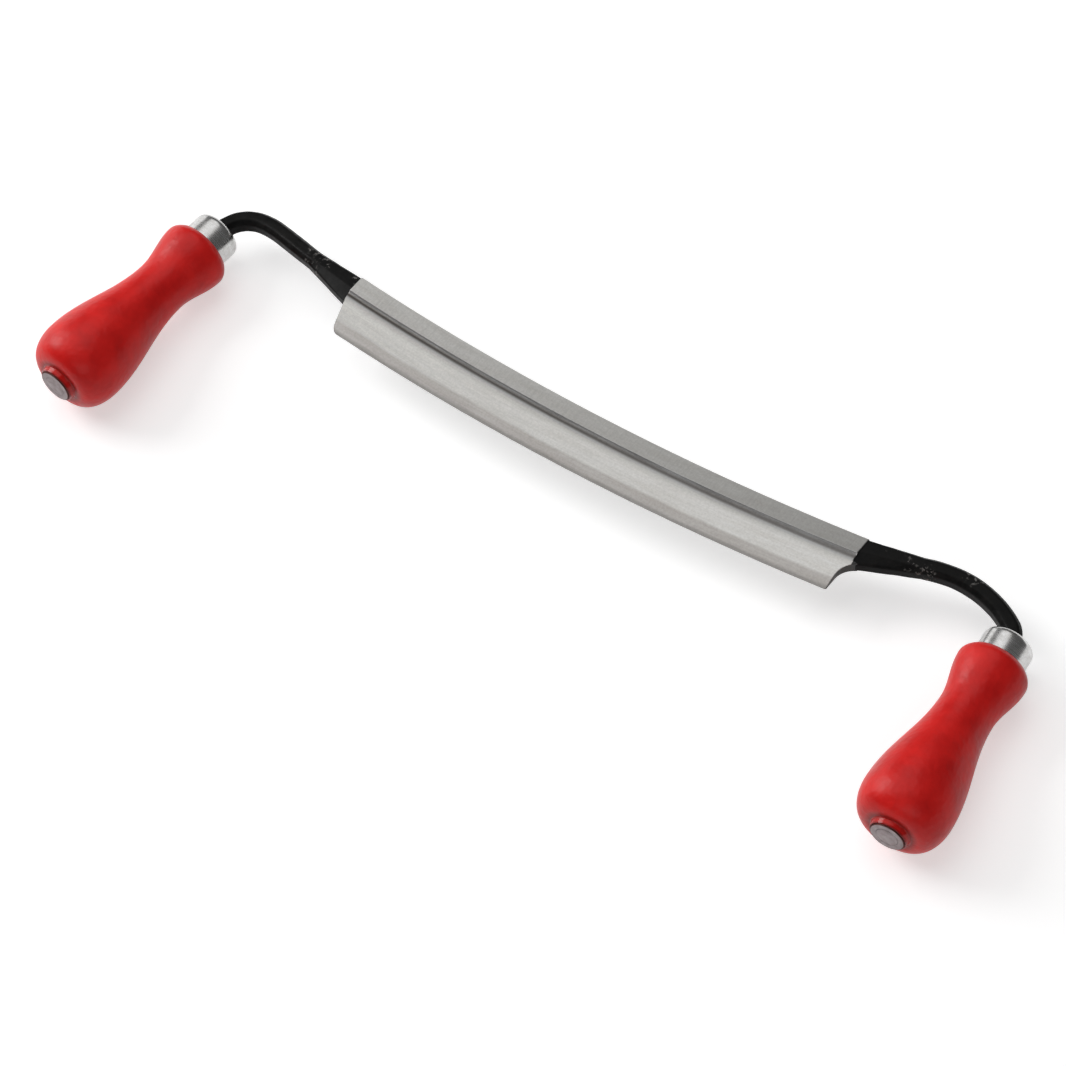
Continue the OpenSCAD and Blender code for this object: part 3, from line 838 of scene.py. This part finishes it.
def handle_section():
    """Closed half section of the handle, its crisp corners slightly rounded."""
    bore = TANG_DIAMETER / 2 + TANG_CLEARANCE
    recess = WASHER_DIAMETER / 2 + WASHER_CLEARANCE
    depth = RECESS_DEPTH
    tenon = FERRULE_DIAMETER / 2 - FERRULE_WALL - FERRULE_CLEARANCE
    end = HANDLE_LENGTH + FERRULE_LENGTH - FERRULE_WALL - SEAT_GAP
    cut = FERRULE_ROUND - FERRULE_WALL
    outline = handle_outline(2 * CURVE_STEPS)
    corners = [(depth, recess), (0, recess), outline[0], outline[1], outline[4]]
    lip = rounded(corners, LIP_ROUNDING, steps=5, closed=False)
    front = [(HANDLE_LENGTH, tenon), (end - cut, tenon), (end, tenon - cut)]
    front += [(end, bore), (depth, bore)]
    return lip[:-1] + outline[4:] + front


def ferrule_section():
    """Closed half section of the ferrule, with a rounded front edge and a hole for the arm."""
    r = FERRULE_DIAMETER / 2
    back = HANDLE_LENGTH + SEAT_GAP
    front = HANDLE_LENGTH + FERRULE_LENGTH
    half = max(LEFT_SIZE, RIGHT_SIZE) / 2
    hole = math.hypot(half, half - ARM_CHAMFER) + TANG_CLEARANCE
    inner = FERRULE_ROUND - FERRULE_WALL
    middle = (front - FERRULE_ROUND, r - FERRULE_ROUND)
    straight = FERRULE_LENGTH - FERRULE_ROUND - 2 * RIM_BREAK
    points = [(back, r - RIM_BREAK), (back + RIM_BREAK, r)]
    points += [(back + RIM_BREAK + straight * i / 6, r) for i in range(1, 6)]
    for i in range(13):
        a = 90 * i / 12
        points.append((middle[0] + FERRULE_ROUND * sin(a), middle[1] + FERRULE_ROUND * cos(a)))
    points += [(front, hole + HOLE_BREAK), (front - HOLE_BREAK, hole), (front - FERRULE_WALL, hole)]
    for i in range(8, -1, -1):
        a = 90 * i / 8
        points.append((middle[0] + inner * sin(a), middle[1] + inner * cos(a)))
    return points + [(back, r - FERRULE_WALL)]


def washer_section():
    """Closed half section of the washer, countersunk for the tang's riveted head."""
    outer, inner = -WASHER_PROUD, WASHER_THICKNESS - WASHER_PROUD
    bore = TANG_DIAMETER / 2 + TANG_CLEARANCE
    corners = [(outer, WASHER_DIAMETER / 2), (inner, WASHER_DIAMETER / 2)]
    corners += [(inner, bore), (outer, RIVET_DIAMETER / 2)]
    return rounded(corners, WASHER_ROUNDING, steps=3)


def tang_section():
    """Half section of the tang, with a slightly domed riveted head."""
    head = -WASHER_PROUD
    root = HANDLE_LENGTH + FERRULE_LENGTH
    dome = RIVET_DIAMETER / 2 - TANG_CLEARANCE
    r = TANG_DIAMETER / 2
    points = [(head - HEAD_PROUD, HEAD_TIP), (head - HEAD_PROUD, dome * 0.6)]
    points += [(head, dome * 0.9), (head + HEAD_ROUNDING, dome)]
    return points + [(WASHER_THICKNESS - WASHER_PROUD, r), (root, r), (root, HEAD_TIP)]


def wear(piece, node):
    """Hides the CAD node that a piece stands in for."""
    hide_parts(node)


steel = blade_steel()
lacquer = black_lacquer()
red = red_lacquer()
bright = turned_steel("ferrule_steel", 0.62, 0.18, 0.34)
riveted = dull_steel("riveted_steel", 0)
stamped = dull_steel("stamped_steel", 1)

wear(make_blade(steel), "forged_blade")
for label, side, arm, seed in (("left", -1, LEFT_ARM, -20), ("right", 1, RIGHT_ARM, 100)):
    wear(make_arm(label + "_arm", arm, lacquer, side, seed), "forged_blade")
    wear(turned(label + "_tang", tang_section(), riveted, side, 64), "forged_blade")
    wear(turned(label + "_grip", handle_section(), red, side, 160), label + "_handle")
    wear(turned(label + "_cap", ferrule_section(), bright, side, 128), label + "_ferrule")
    wear(turned(label + "_disc", washer_section(), stamped, side, 96), label + "_butt_washer")


# Floor, light and camera

# Half the floor's side in metres, its own light for the camera, and the light from all around
FLOOR_HALF = 12
FLOOR_GLOW = 0.5
WORLD_STRENGTH = 0.11


def make_floor():
    """Pale floor that keeps the tool's shadow and is white where the light falls on it freely."""
    g = Graph("floor_paper")
    tone = g.ramp(g.noise(g.solid((1, 1, 1)), 3, 2, 0.5), [(0.3, grey(0.80)), (0.7, grey(0.82))])
    diffuse = g.node("ShaderNodeBsdfDiffuse", {"Color": tone})
    path = g.node("ShaderNodeLightPath")
    seen = g.math("MAXIMUM", path.outputs["Is Camera Ray"], path.outputs["Is Glossy Ray"])
    seen = g.math("MAXIMUM", seen, path.outputs["Is Transmission Ray"])
    glow = g.node("ShaderNodeEmission", {"Strength": g.math("MULTIPLY", seen, FLOOR_GLOW)})
    both = g.node("ShaderNodeAddShader", {0: diffuse.outputs[0], 1: glow.outputs[0]})
    g.tree.links.new(both.outputs[0], g.output.inputs[0])
    mesh = bpy.data.meshes.new("floor")
    half = FLOOR_HALF
    corners = [(-half, -half, 0), (half, -half, 0), (half, half, 0), (-half, half, 0)]
    mesh.from_pydata(corners, [], [(0, 1, 2, 3)])
    mesh.materials.append(g.material)
    floor = bpy.data.objects.new("floor", mesh)
    bpy.context.scene.collection.objects.link(floor)


def make_lamp(name, spot, target, width, height, power):
    """A rectangular lamp at a spot that faces its target, in metres and watts."""
    data = bpy.data.lights.new(name, "AREA")
    data.shape = "RECTANGLE"
    data.size, data.size_y = width, height
    data.energy = power
    lamp = bpy.data.objects.new(name, data)
    lamp.location = spot
    lamp.rotation_euler = (Vector(target) - Vector(spot)).to_track_quat("-Z", "Y").to_euler()
    bpy.context.scene.collection.objects.link(lamp)


def make_world():
    world = bpy.data.worlds.new("studio")
    world.use_nodes = True
    back = world.node_tree.nodes["Background"]
    back.inputs["Color"].default_value = (1, 1, 1, 1)
    back.inputs["Strength"].default_value = WORLD_STRENGTH
    bpy.context.scene.world = world


def make_camera():
    data = bpy.data.cameras.new("camera")
    data.sensor_width = SENSOR
    data.lens = CAMERA_LENS
    data.clip_start = 0.1
    data.clip_end = 50
    camera = bpy.data.objects.new("camera", data)
    camera.rotation_mode = "QUATERNION"
    camera.location = place(CAMERA_PLACE)
    rest = Quaternion((1, 0, 0), -math.radians(REST_PITCH))
    camera.rotation_quaternion = rest @ Quaternion(CAMERA_TURN)
    bpy.context.scene.collection.objects.link(camera)
    bpy.context.scene.camera = camera


make_floor()
make_lamp("overhead", (-0.8, 0.7, 2.7), (0, 0, 0), 3.2, 3.2, 34)
make_lamp("left_side", (-2.7, -0.18, 1.8), (0, 0, 0), 1.6, 1.6, 50)
make_lamp("fill", (0.9, -1.2, 1.1), (0, 0, 0), 1.6, 0.8, 5)
make_lamp("side_card", (-2.6, 0.5, 0.5), (0, 0, 0), 2.4, 0.9, 8)
make_world()
make_camera()
bpy.context.scene.view_settings.view_transform = "Standard"
